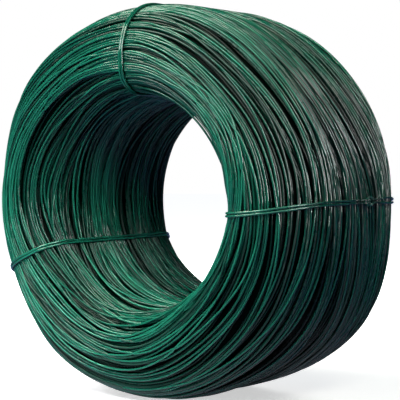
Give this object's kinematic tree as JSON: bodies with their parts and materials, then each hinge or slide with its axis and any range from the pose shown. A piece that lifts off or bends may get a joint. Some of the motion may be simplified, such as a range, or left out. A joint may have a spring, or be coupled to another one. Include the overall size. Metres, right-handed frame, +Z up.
{
  "type": "coil of pvc-coated galvanized wire",
  "caption": "Coil of green plastic-coated wire with an open bore, standing on its rim, its turns held by doubled wire ties round the section.",
  "frame": {"origin": "centre of the bore, on its axis, halfway along its length", "axes": "+Y along the bore, +Z up with the coil standing on its rim, +X towards the right tie"},
  "size_m": [0.383, 0.2112, 0.3784],
  "materials": {
    "wire_coating": "smooth dark green PVC coating, semi-gloss",
    "tie_coating": "smooth green PVC coating, semi-gloss"
  },
  "bodies": {
    "root": {"wire_coil": "wire_coating", "tie_right": "tie_coating", "tie_top": "tie_coating", "tie_left": "tie_coating"}
  },
  "joints": []
}
